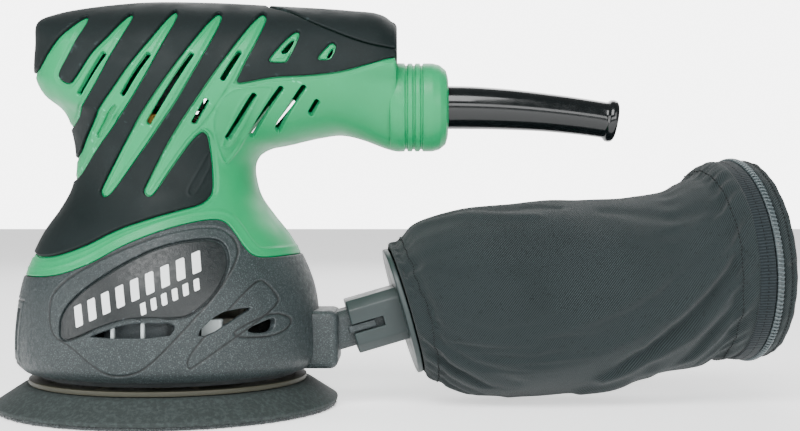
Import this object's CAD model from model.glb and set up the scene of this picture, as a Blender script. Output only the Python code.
"""Looks of the random orbital sander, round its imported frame.

Tables are in millimetres, in the frame of the part: Z is the motor axis, +X the tail and
-Y the left side. Both sides of the body are alike.
"""

import math

import bmesh
import bpy
import numpy as np
from mathutils import Euler, Matrix, Vector


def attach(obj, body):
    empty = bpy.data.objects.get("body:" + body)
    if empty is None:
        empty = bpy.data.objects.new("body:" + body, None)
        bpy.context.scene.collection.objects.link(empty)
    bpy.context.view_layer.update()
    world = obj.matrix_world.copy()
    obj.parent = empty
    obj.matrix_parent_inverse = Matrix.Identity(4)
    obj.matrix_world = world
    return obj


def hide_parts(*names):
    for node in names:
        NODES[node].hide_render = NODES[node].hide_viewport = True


MM = 0.001
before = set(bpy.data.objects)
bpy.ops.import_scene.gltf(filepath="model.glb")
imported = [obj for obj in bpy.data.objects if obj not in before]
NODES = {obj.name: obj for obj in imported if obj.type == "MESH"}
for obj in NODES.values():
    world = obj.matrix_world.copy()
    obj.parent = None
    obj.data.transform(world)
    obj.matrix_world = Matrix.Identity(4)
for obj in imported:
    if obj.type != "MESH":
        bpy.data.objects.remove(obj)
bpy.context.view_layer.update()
RNG = np.random.default_rng(7)

# ---- tables shared with the CAD ---------------------------------------------------------
TAIL_END = 84.4
COLLAR_HEIGHT = 110.3
COLLAR_RADIUS = 16.4
COLLAR_END = 103.3
ORBIT_OFFSET = 1.5
OUTLET = Matrix.Translation((0.060, 0.0, 0.0268)) @ Euler(
    (0, -math.radians(16.0), math.radians(5.0))
).to_matrix().to_4x4()
BAG_END = Matrix.Translation((0.2151, 0.016, 0.053)) @ Euler(
    (0, -math.radians(4.4), math.radians(9.0))
).to_matrix().to_4x4()
# (front x, front z, rear x, rear z, half width)
SECTIONS = [
    (-52.0, 14.0, 52.0, 14.0, 52.0),
    (-55.2, 17.5, 55.2, 17.5, 55.2),
    (-55.8, 25.0, 55.8, 25.0, 55.8),
    (-55.0, 35.5, 55.2, 35.0, 55.0),
    (-53.2, 46.0, 53.4, 45.0, 53.0),
    (-49.6, 56.0, 49.4, 55.0, 48.3),
    (-45.5, 64.5, 44.5, 63.5, 43.6),
    (-39.6, 73.0, 39.0, 70.5, 38.6),
    (-35.6, 81.0, 34.2, 77.5, 35.0),
    (-34.4, 90.0, 32.3, 84.0, 33.8),
    (-35.6, 99.5, 32.0, 88.7, 33.8),
    (-38.9, 108.0, 33.3, 91.8, 34.6),
    (-46.4, 114.4, 35.4, 93.5, 35.6),
    (-49.7, 121.2, 37.6, 94.5, 36.3),
    (-49.5, 133.5, 39.6, 95.0, 36.7),
    (-48.8, 141.2, 42.0, 95.4, 36.7),
    (-41.5, 144.6, 45.0, 96.0, 36.2),
    (-13.0, 148.7, 50.0, 97.2, 34.3),
    (13.0, 149.0, 56.5, 98.6, 31.1),
    (40.0, 147.8, 64.0, 99.4, 27.6),
    (66.0, 146.3, 72.0, 97.6, 24.0),
    (79.0, 144.6, 80.0, 94.6, 21.6),
    (TAIL_END, 140.5, TAIL_END, 93.4, 20.0),
]
# Outlines on the side of the body, as (x, z).
SEAM = [
    (-70.0, 48.4), (-44.9, 48.6), (-35.0, 49.2), (-27.5, 50.8), (-18.3, 54.3), (-8.2, 60.1),
    (5.0, 65.4), (14.8, 68.1), (21.7, 69.1), (25.2, 68.1), (28.2, 64.6), (31.9, 59.1),
    (35.2, 55.9), (40.2, 55.4), (48.3, 56.2), (70.0, 56.5),
]
HOOD_LINE = [
    (34.0, 152.0), (37.3, 146.5), (43.0, 144.9), (47.6, 143.1), (52.2, 140.3), (59.8, 136.9),
    (68.4, 133.4), (76.9, 130.9), (92.0, 129.5),
]
GRIP_EDGE = [
    (-70.0, 57.5), (-46.4, 57.0), (-43.1, 55.8), (-35.4, 56.1), (-28.6, 57.8), (-20.7, 60.6),
    (-11.8, 65.4), (-2.1, 68.8), (11.1, 72.7), (16.3, 74.1), (19.4, 76.8), (20.1, 79.7),
    (19.8, 85.0), (18.8, 94.8), (18.3, 97.8), (16.9, 99.0), (15.0, 100.5), (26.5, 117.5),
    (28.5, 115.7), (33.6, 116.8), (41.5, 118.6), (50.4, 119.1), (60.8, 120.3), (67.8, 121.8),
    (75.0, 124.2), (83.0, 127.2), (92.0, 128.6),
]
WINDOW_FRONT = [
    (-26.6, 142.0), (-31.1, 137.1), (-35.5, 132.6), (-40.4, 128.2), (-43.2, 124.7),
    (-46.8, 121.8), (-70.0, 121.0), (-70.0, 101.5), (-38.0, 101.5), (-31.1, 101.8),
    (-23.8, 109.9), (-17.7, 119.6), (-12.7, 129.3), (-8.6, 139.9), (-9.7, 142.2),
    (-11.4, 141.3), (-16.4, 133.1), (-21.9, 126.7), (-28.9, 116.9), (-30.9, 116.0),
    (-34.5, 118.0), (-35.1, 120.0), (-30.1, 127.1), (-26.5, 134.1), (-24.7, 139.7),
]
WINDOW_SECOND = [
    (5.6, 143.7), (4.2, 142.3), (-0.4, 133.5), (-7.5, 123.2), (-14.5, 113.3), (-22.5, 103.1),
    (-27.4, 96.5), (-30.0, 92.5), (-36.0, 90.5), (-70.0, 90.0), (-70.0, 82.5), (-36.0, 82.5),
    (-29.7, 83.5), (-23.3, 91.4), (-11.8, 103.4), (-6.8, 110.5), (-1.5, 119.4), (3.9, 131.6),
    (7.1, 140.1),
]
WINDOW_THIRD = [
    (20.9, 142.9), (19.3, 141.7), (14.4, 132.9), (8.2, 123.3), (-6.0, 102.3), (-12.7, 91.8),
    (-19.6, 79.6), (-19.5, 78.0), (-17.4, 76.4), (-15.2, 77.5), (-9.2, 85.4), (6.1, 105.7),
    (12.4, 116.4), (19.4, 129.6), (22.9, 140.4),
]
WINDOW_FOURTH = [
    (36.4, 143.4), (34.6, 141.7), (29.4, 132.9), (23.8, 123.6), (9.6, 102.7), (4.0, 93.8),
    (-3.0, 79.8), (-3.2, 78.2), (-1.3, 76.4), (0.7, 77.4), (5.1, 84.7), (13.7, 97.0),
    (16.9, 99.0), (28.5, 115.7), (31.6, 123.1), (35.5, 131.5), (38.4, 140.4),
]
WINDOW_TAIL_FRONT = [
    (39.4, 123.6), (40.4, 126.1), (46.0, 133.4), (48.9, 136.2), (50.5, 134.6), (46.3, 124.1),
    (44.9, 123.5),
]
WINDOW_TAIL_REAR = [
    (56.3, 125.8), (60.4, 131.1), (61.7, 131.9), (63.3, 130.4), (61.5, 125.6), (59.8, 125.0),
    (57.3, 124.8),
]
GRIP_WINDOWS = [
    WINDOW_FRONT, WINDOW_SECOND, WINDOW_THIRD, WINDOW_FOURTH, WINDOW_TAIL_FRONT, WINDOW_TAIL_REAR,
]
SLOT_WIDTH = 1.8
SLOTS = [
    ((-26.4, 112.6), (-17.3, 126.2)), ((-10.1, 112.1), (-1.7, 125.8)),
    ((-1.3, 102.1), (13.2, 126.0)), ((24.2, 117.6), (29.4, 126.9)),
    ((14.2, 102.5), (18.2, 109.4)), ((25.0, 97.4), (34.5, 111.7)),
    ((32.7, 98.7), (43.8, 114.3)), ((41.8, 100.6), (51.6, 114.9)),
    ((53.8, 106.2), (56.1, 109.9)),
]
TAIL_OPENINGS = [
    [(43.3, 127.4), (47.5, 133.3), (48.7, 132.6), (45.7, 126.6)],
    [(59.6, 125.9), (61.9, 130.1), (62.3, 128.8), (61.0, 125.9)],
]
BLIND_GROOVE = ((-20.9, 98.0), (-13.4, 107.4))
# Thin raised lines on the green housing and on the skin.
HOUSING_LINES = [
    [
        (23.2, 88.1), (21.1, 94.5), (20.0, 100.7), (21.0, 106.9), (24.2, 111.8), (29.6, 114.5),
        (38.5, 115.3), (41.2, 114.5), (37.6, 108.7), (30.5, 98.0), (25.1, 90.0),
    ],
    [
        (23.4, 94.0), (22.6, 94.9), (26.0, 102.5), (31.4, 111.8), (33.6, 112.5), (35.8, 111.6),
        (35.2, 110.0), (31.4, 103.4), (25.1, 94.0),
    ],
]
SKIN_LINE = [
    (12.2, 77.1), (11.6, 78.9), (16.2, 88.2), (18.7, 93.1), (18.9, 88.2), (18.2, 86.0),
    (14.9, 78.4), (13.3, 76.8),
]
PLATE_OUTLINE = [
    (-28.9, 29.9), (-28.6, 37.2), (-21.0, 45.0), (-7.5, 53.8), (5.6, 60.1), (18.7, 62.3),
    (24.5, 61.3), (27.1, 56.3), (27.0, 50.8), (23.7, 43.6), (17.7, 37.7), (12.7, 35.7),
    (-2.0, 36.4), (-12.0, 34.0), (-24.9, 28.1), (-28.1, 28.6),
]
SKIRT_OPENINGS = [
    [
        (-17.5, 29.4), (-15.4, 31.1), (-6.9, 34.2), (3.1, 34.9), (10.2, 34.4), (11.5, 32.8),
        (9.0, 29.6),
    ],
    [(17.6, 30.1), (24.6, 37.4), (32.9, 38.8), (35.4, 38.5), (31.5, 36.1), (22.3, 29.9)],
    [(34.1, 30.4), (34.6, 31.9), (39.2, 33.9), (42.4, 35.0), (42.2, 31.2), (40.4, 29.7)],
]
# Thin embossed lines on the skirt.
SHIELD_LINE = [
    (-32.7, 30.0), (-33.4, 40.3), (-31.7, 44.4), (-24.3, 50.6), (-8.7, 58.4), (5.9, 64.1),
    (18.6, 66.4), (25.3, 65.3), (29.6, 60.2), (30.0, 55.4), (25.5, 45.6), (17.7, 36.0),
    (7.5, 24.8), (1.0, 18.9), (-5.2, 16.8), (-10.9, 17.0), (-16.4, 20.2), (-24.5, 26.5),
]
SECOND_LINE = [
    (15.4, 19.3), (15.1, 22.3), (19.2, 28.1), (28.9, 39.5), (36.0, 47.5), (38.5, 47.7),
    (43.0, 42.3), (43.4, 39.6), (38.3, 34.9), (16.7, 19.2),
]
THIRD_LINE = [
    (30.0, 29.8), (29.7, 31.2), (40.7, 36.8), (47.5, 34.7), (47.0, 31.0), (42.1, 28.5),
    (32.8, 28.7),
]
SKIRT_LINES = (SHIELD_LINE, SECOND_LINE, THIRD_LINE)


# ---- sizes of the visual pieces ---------------------------------------------------------
# A field value well outside a shape.
AWAY = -50.0
# The body's skins: grid spacing, points round, and depths below the surface.
REFINE = 4
GRID = 0.5
SKIRT_GRID = 0.38
BODY_AROUND = 640
SKIRT_AROUND = 896
SEAM_GAP = 0.15
GREEN_DEPTH = 1.4
RAISED_DEPTH = 0.35
WALL_DEPTH = 2.4
SKIN_DEPTH = 1.25
# Boxes as (centre, half size) in (y, z): controls in the skin, and the skirt's front panel.
SLIDER_BOX = ((0, 132), (6.3, 9.5))
DIAL_BOX = ((0, 135.9), (4.0, 8.7))
FRONT_PANEL = ((0, 29.0), (28.5, 11.0))
SLIT_PLACES = (-21.7, -12.75, -4.25, 4.25, 12.75, 21.7)
SLIT_HEIGHT = 29.5
SLIT_HALF = (3.1, 7.5)
PLATE_SIDE = 6.7
# Plain bars on the side plates: first place, count, spacing and half size of each row.
BAR_SLOPE = math.radians(24.6)
BAR_LEAN = 0.28
BAR_ROWS = (((-21.6, 36.6), 9, 5.3, (1.45, 3.4)), ((0.8, 39.2), 6, 3.7, (0.95, 1.9)))
# Dust holes through the pad.
HOLE_COUNT = 8
HOLE_CIRCLE = 32.5
HOLE_RADIUS = 5.0
RIM_HOOKS = 2600
FACE_HOOKS = 5200
DIAL_CENTRE = (77, 136)
DIAL_TEETH = 40
SCREW_PLACES = ((-19.0, 137.5), (24.0, 138.0), (60.0, 110.0))
# The guard as (distance along, radius).
GUARD_START = 92.0
GUARD_BORE = 4.7
GUARD_STRAIGHT = 10.0
GUARD_DROOP = 0.0013
GUARD_OUTER = [
    (0.0, 8.0), (2.4, 8.0), (2.7, 10.4), (3.0, 10.6), (6.0, 10.6), (6.4, 10.2), (6.6, 8.3),
    (7.4, 8.1), (20.0, 8.0), (34.0, 7.6), (48.0, 7.1), (62.0, 6.8), (69.4, 6.7), (70.1, 6.8),
    (70.5, 7.3), (71.1, 7.75), (72.0, 7.9), (72.9, 7.75), (73.6, 7.3), (74.0, 6.6),
]
GUARD_INNER = [(74.0, 5.4), (73.6, 4.9), (72.8, GUARD_BORE), (40.0, GUARD_BORE), (0.0, GUARD_BORE)]
# Centre of the bag, x, y, z, half height, half width, pitch and yaw in degrees.
BAG_STATIONS = [
    (87.75, 2.5, 35.0, 24.2, 22.3, 16.0, 5.0),
    (89.1, 2.65, 35.6, 26.8, 25.2, 15.8, 5.0),
    (92.6, 2.9, 36.7, 29.6, 28.6, 15.0, 5.0),
    (97.0, 3.3, 37.8, 32.0, 31.5, 13.0, 5.0),
    (108.0, 4.2, 39.3, 33.8, 33.8, 10.0, 5.0),
    (125.0, 5.8, 41.5, 35.8, 35.3, 8.0, 5.5),
    (143.0, 7.6, 43.8, 36.1, 35.8, 7.5, 6.0),
    (160.0, 9.4, 45.6, 35.1, 35.3, 7.5, 6.5),
    (176.0, 11.3, 47.6, 33.9, 34.9, 7.0, 7.5),
    (190.0, 13.1, 50.2, 34.4, 35.4, 6.0, 8.0),
    (200.0, 14.4, 52.6, 36.2, 36.7, 5.0, 9.0),
    (208.0, 15.3, 53.1, 37.7, 37.7, 4.4, 9.0),
]
BAG_ROWS = 110
BAG_ROUND = 168
BAG_FRAMES = 26
BAG_CAP = 3.6
CLOTH = {
    "quality": 5, "mass": 0.25, "air_damping": 2.0, "tension_stiffness": 18,
    "compression_stiffness": 18, "shear_stiffness": 6, "bending_stiffness": 0.08,
    "vertex_group_mass": "sewn", "pin_stiffness": 1.0, "shrink_min": -0.035,
    "shrink_max": -0.035, "use_pressure": True, "uniform_pressure_force": 1.2,
}
# Rows and count of the hem stitches, and the column of the seam underneath.
HEM_ROWS = (5.6, BAG_ROWS - 6.4)
HEM_STITCHES = 150
SEAM_COLUMN = BAG_ROUND * 0.77
SEAM_STITCH = 2.6
STITCH_SHARE = 0.62
# A short thread as (share along, share of its radius, rise).
THREAD_FORM = ((0, 0.35, -0.22), (0.16, 0.85, 0), (0.5, 1, 0.06), (0.84, 0.85, 0), (1, 0.35, -0.22))
ZIP_RADIUS = 38.0
ZIP_TEETH = 150
PANEL_SIDES = 180
ZIP_SLIDER_ANGLE = math.radians(-115.0)
TAB_ANGLE = math.radians(25.0)
TAB_PIVOT = (0.0, -1.2, 43.8)
CAMERA_PLACE = (0.0855, -0.465, 0.070)
FOCAL_PIXELS = 1245
FRAME_WIDTH = 800
WORLD_LIGHT = 0.26
WORLD_BACK = 2.6
WORLD_BACK_REACH = (0.72, 0.96)
WORLD_SEEN = 6.0
FLOOR_SIZE = 6.0
# Pitches of fine patterns, in metres.
LAMINATION_PITCH = 0.0007
WIRE_PITCH = 0.0009
TWILL_PITCH = 0.0009
TAPE_PITCH = 0.0011
MIDDLE = (0.08, 0, 0.08)
# Lights as name, place, target, size and power.
LIGHTS = (
    ("key", (-0.1, -0.7, 0.9), MIDDLE, (0.8, 0.6), 17),
    ("fill", (0.9, -0.8, 0.5), MIDDLE, (0.7, 0.7), 5),
    ("strip", (0.22, -0.95, 0.31), (0.14, 0, 0.1), (1.4, 0.22), 6.5),
    ("left", (-0.9, -0.5, 0.35), MIDDLE, (0.5, 0.6), 6),
    ("back", (0.2, 0.9, 0.8), MIDDLE, (1.0, 0.6), 8),
)


# ---- materials --------------------------------------------------------------------------
def new_node(tree, kind, values=(), **settings):
    made = tree.nodes.new(kind)
    for key, value in settings.items():
        setattr(made, key, value)
    for key, value in dict(values).items():
        made.inputs[key].default_value = value
    return made


class Shading:
    """A Principled material with helpers for the nodes in front of it."""

    def __init__(self, name, colour, roughness, metallic=0.0, **inputs):
        self.material = bpy.data.materials.new(name)
        self.material.use_nodes = True
        self.tree = self.material.node_tree
        self.shader = self.tree.nodes["Principled BSDF"]
        self.coords = self.tree.nodes.new("ShaderNodeTexCoord")
        inputs.update(Base_Color=(*colour, 1), Roughness=roughness, Metallic=metallic)
        for key, value in inputs.items():
            self.shader.inputs[key.replace("_", " ")].default_value = value
        self.colour = None
        self.height = None

    def node(self, kind, values=(), **settings):
        return new_node(self.tree, kind, values, **settings)

    def link(self, source, target):
        self.tree.links.new(source, target)

    def noise(self, scale, detail=2.0, stretch=None):
        made = self.node("ShaderNodeTexNoise", {"Scale": scale, "Detail": detail})
        source = self.coords.outputs["Object"]
        if stretch:
            mapping = self.node("ShaderNodeMapping", {"Scale": stretch})
            self.link(source, mapping.inputs["Vector"])
            source = mapping.outputs["Vector"]
        self.link(source, made.inputs["Vector"])
        return made.outputs["Fac"]

    def axes(self, space):
        made = self.node("ShaderNodeSeparateXYZ")
        self.link(self.coords.outputs[space], made.inputs[0])
        return made.outputs

    def ramp(self, source, low, high, start=0.0, end=1.0):
        values = {"From Min": low, "From Max": high, "To Min": start, "To Max": end}
        made = self.node("ShaderNodeMapRange", values, interpolation_type="SMOOTHSTEP")
        self.link(source, made.inputs["Value"])
        return made.outputs["Result"]

    def tint(self, factor, colour):
        """Mixes another colour over the present one where the factor is high."""
        mix = self.node("ShaderNodeMix", data_type="RGBA")
        if self.colour is None:
            mix.inputs["A"].default_value = self.shader.inputs["Base Color"].default_value
        else:
            self.link(self.colour, mix.inputs["A"])
        mix.inputs["B"].default_value = (*colour, 1)
        self.link(factor, mix.inputs["Factor"])
        self.colour = mix.outputs["Result"]
        self.link(self.colour, self.shader.inputs["Base Color"])
        return self

    def bump(self, height, distance, strength=1.0):
        made = self.node("ShaderNodeBump", {"Distance": distance, "Strength": strength})
        self.link(height, made.inputs["Height"])
        if self.height is not None:
            self.link(self.height, made.inputs["Normal"])
        self.height = made.outputs["Normal"]
        self.link(self.height, self.shader.inputs["Normal"])
        return self

    def rough(self, source, low, high):
        self.link(self.ramp(source, 0.3, 0.7, low, high), self.shader.inputs["Roughness"])
        return self

    def edges(self, colour, low=0.53, high=0.62, amount=0.5):
        """Wear on outward edges, from the mesh's own pointiness."""
        geometry = self.node("ShaderNodeNewGeometry")
        wear = self.ramp(geometry.outputs["Pointiness"], low, high, 0.0, amount)
        return self.tint(wear, colour)

    def math(self, operation, first, second=None):
        made = self.node("ShaderNodeMath", operation=operation)
        for socket, value in zip(made.inputs, (first, second)):
            if value is None:
                continue
            if isinstance(value, (int, float)):
                socket.default_value = value
            else:
                self.link(value, socket)
        return made.outputs[0]


def srgb(red, green, blue):
    values = []
    for value in (red, green, blue):
        v = value / 255
        values.append(v / 12.92 if v <= 0.04045 else ((v + 0.055) / 1.055) ** 2.4)
    return tuple(values)


def moulded(name, colour, rough, tints, grain, edge=None, gloss=None, **inputs):
    """A material with (scale, detail, low, high, amount, colour) tints and a fine grain."""
    s = Shading(name, srgb(*colour), rough, **inputs)
    for scale, detail, low, high, amount, tint in tints:
        s.tint(s.ramp(s.noise(scale, detail), low, high, 0, amount), srgb(*tint))
    if edge:
        s.edges(srgb(*edge[0]), *edge[1:])
    for scale, detail, distance, strength in grain:
        s.bump(s.noise(scale, detail), distance, strength)
    if gloss:
        s.rough(s.noise(*gloss[:2]), *gloss[2:])
    return s.material


def skirt_plastic(name, colour, speck, rough, speck_amount=0.4):
    """Matt moulding with a fine sparkle, dark along its moulded lines."""
    s = Shading(name, colour, rough, Specular_IOR_Level=0.4)
    s.tint(s.ramp(s.noise(80, 3), 0.35, 0.7, 0, 0.4), tuple(c * 1.2 for c in colour))
    s.tint(s.ramp(s.noise(2700, 2), 0.52, 0.7, 0, speck_amount), speck)
    s.tint(s.ramp(s.noise(2100, 2), 0.55, 0.72, 0, 0.45), tuple(c * 0.5 for c in colour))
    s.edges(srgb(96, 104, 108), 0.52, 0.62, 0.4)
    groove = s.node("ShaderNodeAttribute", attribute_name="groove")
    s.tint(s.ramp(groove.outputs["Fac"], 0.2, 0.8, 0, 0.8), tuple(c * 0.12 for c in colour))
    s.bump(s.noise(2300, 2), 0.0001, 0.8)
    return s.rough(s.noise(600, 2), rough - 0.08, rough + 0.1).material


def dark_plastic(name="dark_moulded", colour=(34, 44, 44), rough=0.42):
    base = srgb(*colour)
    s = Shading(name, base, rough, Specular_IOR_Level=0.4)
    s.tint(s.ramp(s.noise(90, 3), 0.35, 0.7, 0, 0.4), tuple(c * 1.3 for c in base))
    s.edges(tuple(min(1, c * 2.6) for c in base), 0.52, 0.62, 0.4)
    s.bump(s.noise(1900, 2), 0.00004, 0.5)
    return s.rough(s.noise(160, 3), rough - 0.08, rough + 0.08).material


def metal(name, colour, rough, stretch=(1, 1, 1), tarnish=None):
    s = Shading(name, colour, rough, 1.0)
    s.tint(s.ramp(s.noise(130, 4), 0.4, 0.75, 0, 0.5), tarnish or tuple(c * 0.6 for c in colour))
    s.bump(s.noise(900, 2, stretch), 0.00003, 0.6)
    return s.rough(s.noise(300, 3, stretch), rough - 0.08, rough + 0.12).material


def laminations():
    """Thin stacked sheets, seen as fine rings on the sides."""
    s = Shading("laminated_iron", srgb(120, 124, 130), 0.45, 1.0)
    split = s.axes("Object")
    wave = s.math("SINE", s.math("MULTIPLY", split["Z"], math.tau / LAMINATION_PITCH))
    s.tint(s.ramp(wave, 0.1, 0.9, 0, 0.6), srgb(70, 72, 76))
    s.tint(s.ramp(s.noise(200, 4), 0.5, 0.8, 0, 0.5), srgb(92, 74, 60))
    return s.bump(wave, 0.00008, 0.7).material


def copper_winding():
    """Enamelled wire wound side by side."""
    s = Shading("wound_copper", srgb(124, 68, 40), 0.36, 1.0)
    split = s.axes("Object")
    path = s.math("ADD", split["Z"], s.math("MULTIPLY", split["X"], 0.35))
    wave = s.math("SINE", s.math("MULTIPLY", path, math.tau / WIRE_PITCH))
    s.tint(s.ramp(wave, -0.9, 0.2, 0.6, 0), srgb(62, 31, 17))
    s.tint(s.ramp(s.noise(260, 3), 0.5, 0.75, 0, 0.4), srgb(152, 94, 58))
    return s.bump(wave, 0.0002, 0.8).material


def cloth(name, colour, light, period=TWILL_PITCH, ribs=False):
    """Twill or tape cloth; the map runs in metres round and along the piece."""
    s = Shading(name, colour, 0.88, Specular_IOR_Level=0.15, Sheen_Weight=0.1, Sheen_Roughness=0.45)
    split = s.axes("UV")
    u, v = split["X"], split["Y"]
    turn = math.tau / period
    diagonal = u if ribs else s.math("ADD", u, v)
    twill = s.math("SINE", s.math("MULTIPLY", diagonal, turn))
    across = s.math("SINE", s.math("MULTIPLY", s.math("SUBTRACT", u, v), turn * 2.0))
    weave = s.math("ADD", twill, s.math("MULTIPLY", across, 0.45))
    s.tint(s.ramp(weave, -1.0, 1.2, 0, 0.55), light)
    s.tint(s.ramp(s.noise(35, 4), 0.4, 0.75, 0, 0.35), tuple(c * 1.5 for c in colour))
    s.tint(s.ramp(s.noise(1100, 3), 0.55, 0.75, 0, 0.5), tuple(c * 0.45 for c in colour))
    s.tint(s.ramp(s.noise(2400, 1), 0.66, 0.78, 0, 0.5), tuple(min(1, c * 3.4) for c in colour))
    s.bump(weave, 0.00012, 0.6)
    return s.bump(s.noise(900, 3), 0.0001, 0.5).material


def thread(name, colour):
    s = Shading(name, colour, 0.8, Specular_IOR_Level=0.15, Sheen_Weight=0.05)
    s.tint(s.ramp(s.noise(1800, 2), 0.4, 0.7, 0, 0.6), tuple(min(1, c * 1.8) for c in colour))
    return s.bump(s.noise(2500, 1), 0.0001, 0.6).material


def floor_material():
    s = Shading("pale_floor", (0.93, 0.935, 0.94), 0.8, Emission_Strength=0.9)
    s.shader.inputs["Emission Color"].default_value = (1.0, 1.0, 1.0, 1)
    s.tint(s.ramp(s.noise(3, 3), 0.3, 0.7, 0, 0.3), (0.95, 0.95, 0.95))
    return s.material


MATERIALS = {
    "green": moulded(
        "green_moulded", (1, 134, 80), 0.4,
        [(45, 3, 0.35, 0.7, 0.3, (6, 144, 90)), (900, 2, 0.62, 0.78, 0.2, (18, 154, 103))],
        [(2600, 2, 0.00003, 0.5), (260, 2, 0.00006, 0.25)],
        ((96, 205, 158), 0.52, 0.6, 0.4), (120, 3, 0.34, 0.46),
        Specular_IOR_Level=0.28, Coat_Weight=0.05, Coat_Roughness=0.3,
    ),
    "grip": moulded(
        "soft_grip_rubber", (8, 18, 18), 0.6,
        [(60, 3, 0.35, 0.7, 0.4, (12, 23, 24)), (1500, 1, 0.6, 0.75, 0.35, (24, 37, 37))],
        [(2200, 2, 0.00006, 0.6)], ((44, 58, 59), 0.52, 0.62, 0.45), (90, 3, 0.54, 0.68),
        Specular_IOR_Level=0.2,
    ),
    "skirt": skirt_plastic("skirt_sparkle", srgb(30, 38, 39), srgb(104, 114, 116), 0.52),
    "plate": skirt_plastic("plate_satin", srgb(17, 22, 23), srgb(50, 58, 60), 0.4, 0.25),
    "gloss": moulded(
        "gloss_black", (6, 10, 11), 0.2, [(150, 3, 0.45, 0.75, 0.35, (16, 20, 21))],
        [(160, 2, 0.00004, 0.3)], None, (220, 3, 0.12, 0.22),
        Specular_IOR_Level=0.3, Coat_Weight=0.35, Coat_Roughness=0.08,
    ),
    "dark": dark_plastic(),
    "foam": moulded(
        "pad_foam_dark", (36, 43, 42), 0.78,
        [(700, 3, 0.4, 0.7, 0.6, (56, 65, 64)), (2600, 1, 0.58, 0.7, 0.5, (20, 24, 24))],
        [(1800, 2, 0.00015, 0.7)], Specular_IOR_Level=0.3,
    ),
    "hook": moulded(
        "hook_pile", (36, 41, 42), 0.95, [(1400, 2, 0.45, 0.65, 0.7, (72, 79, 80))],
        [(1300, 2, 0.0004, 0.8)], Sheen_Weight=0.3, Sheen_Roughness=0.5,
    ),
    "backing": moulded(
        "pad_plate_olive", (52, 52, 42), 0.5,
        [(60, 4, 0.35, 0.7, 0.5, (42, 42, 34)), (1100, 2, 0.6, 0.75, 0.4, (58, 58, 49))],
        [(1400, 2, 0.00006, 0.5)], ((128, 124, 104), 0.53, 0.6, 0.55), Specular_IOR_Level=0.3,
    ),
    "steel": metal("ground_steel", srgb(180, 182, 186), 0.3, (1, 1, 6)),
    "screw": metal("zinc_screw", srgb(120, 122, 126), 0.38, (1, 1, 1), srgb(70, 66, 60)),
    "iron": laminations(),
    "copper": copper_winding(),
    "brass": metal("holder_brass_worn", srgb(200, 160, 84), 0.34, (1, 6, 1), srgb(130, 96, 44)),
    "aluminium": metal("cast_alloy", srgb(176, 178, 180), 0.46),
    "carbon": moulded(
        "pressed_carbon", (46, 46, 48), 0.5, [(900, 3, 0.45, 0.7, 0.6, (70, 70, 72))],
        [(1300, 2, 0.00008, 0.6)],
    ),
    "nylon": moulded(
        "fan_nylon_pale", (186, 186, 174), 0.45, [(80, 4, 0.4, 0.7, 0.5, (160, 158, 144))],
        [(1100, 2, 0.00006, 0.6)],
    ),
    "cloth": cloth("bag_twill", srgb(14, 20, 20), srgb(62, 72, 74)),
    "tape": cloth("zip_tape_weave", srgb(18, 24, 26), srgb(48, 56, 60), TAPE_PITCH, True),
    "teeth": dark_plastic("zip_coil", (52, 60, 62), 0.28),
    "thread": thread("stitch_thread", srgb(5, 8, 9)),
    "bars": dark_plastic("printed_bars", (214, 218, 218), 0.5),
    "rib": dark_plastic("vent_rib_grey", (150, 158, 158), 0.45),
    "rubber": dark_plastic("brake_rubber", (26, 30, 31), 0.7),
    "zip_metal": metal("zip_pull_metal", srgb(90, 94, 98), 0.3),
}
# What each carried-over CAD node is finished with.
CARRIED = {
    "iron": ["armature_core", "stator_core"],
    "copper": [
        "winding_lower", "winding_upper", "commutator", "field_coil_left", "field_coil_right",
    ],
    "steel": [
        "armature_shaft", "upper_bearing", "lower_bearing", "pad_spindle", "pad_bearing",
        "brush_spring_left", "brush_spring_right", "counterweight", "dial_spindle",
    ],
    "screw": [
        "pad_screw_1", "pad_screw_2", "pad_screw_3", "clamp_screw_1", "clamp_screw_2",
        "housing_screw_1", "housing_screw_2", "housing_screw_3",
    ],
    "brass": ["brush_holder_left", "brush_holder_right"],
    "carbon": ["carbon_brush_left", "carbon_brush_right", "speed_controller"],
    "aluminium": ["bearing_plate"],
    "nylon": ["fan"],
    "dark": ["switch_body", "bearing_boot", "cord_clamp"],
    "rubber": ["brake_ring"],
}


# ---- fields on the side view ------------------------------------------------------------
def corners_cut(first, following):
    cut = np.empty((2 * len(first), 2))
    cut[0::2] = first * 0.75 + following * 0.25
    cut[1::2] = first * 0.25 + following * 0.75
    return cut


def smooth_closed(outline, times=3):
    points = np.array(outline, float)
    for _ in range(times):
        points = corners_cut(points, np.roll(points, -1, axis=0))
    return points


def smooth_open(line, times=3):
    points = np.array(line, float)
    for _ in range(times):
        points = np.vstack([points[:1], corners_cut(points[:-1], points[1:]), points[-1:]])
    return points


def edge_distance(points, x, z, closed=True):
    """Unsigned distance to an outline."""
    starts = points if closed else points[:-1]
    ends = np.roll(points, -1, axis=0) if closed else points[1:]
    best = np.full(x.shape, 1e9)
    for (ax, az), (bx, bz) in zip(starts, ends):
        dx, dz = bx - ax, bz - az
        length = dx * dx + dz * dz
        if length < 1e-12:
            continue
        share = np.clip(((x - ax) * dx + (z - az) * dz) / length, 0, 1)
        gap = (x - ax - share * dx) ** 2 + (z - az - share * dz) ** 2
        np.minimum(best, gap, out=best)
    return np.sqrt(best)


def inside(points, x, z):
    crossing = np.zeros(x.shape, bool)
    for (ax, az), (bx, bz) in zip(points, np.roll(points, -1, axis=0)):
        if az == bz:
            continue
        hit = (az > z) != (bz > z)
        crossing ^= hit & (x < (bx - ax) * (z - az) / (bz - az) + ax)
    return crossing


def signed(points, x, z):
    """Distance to a closed outline, positive inside it."""
    return np.where(inside(points, x, z), 1, -1) * edge_distance(points, x, z)


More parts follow.
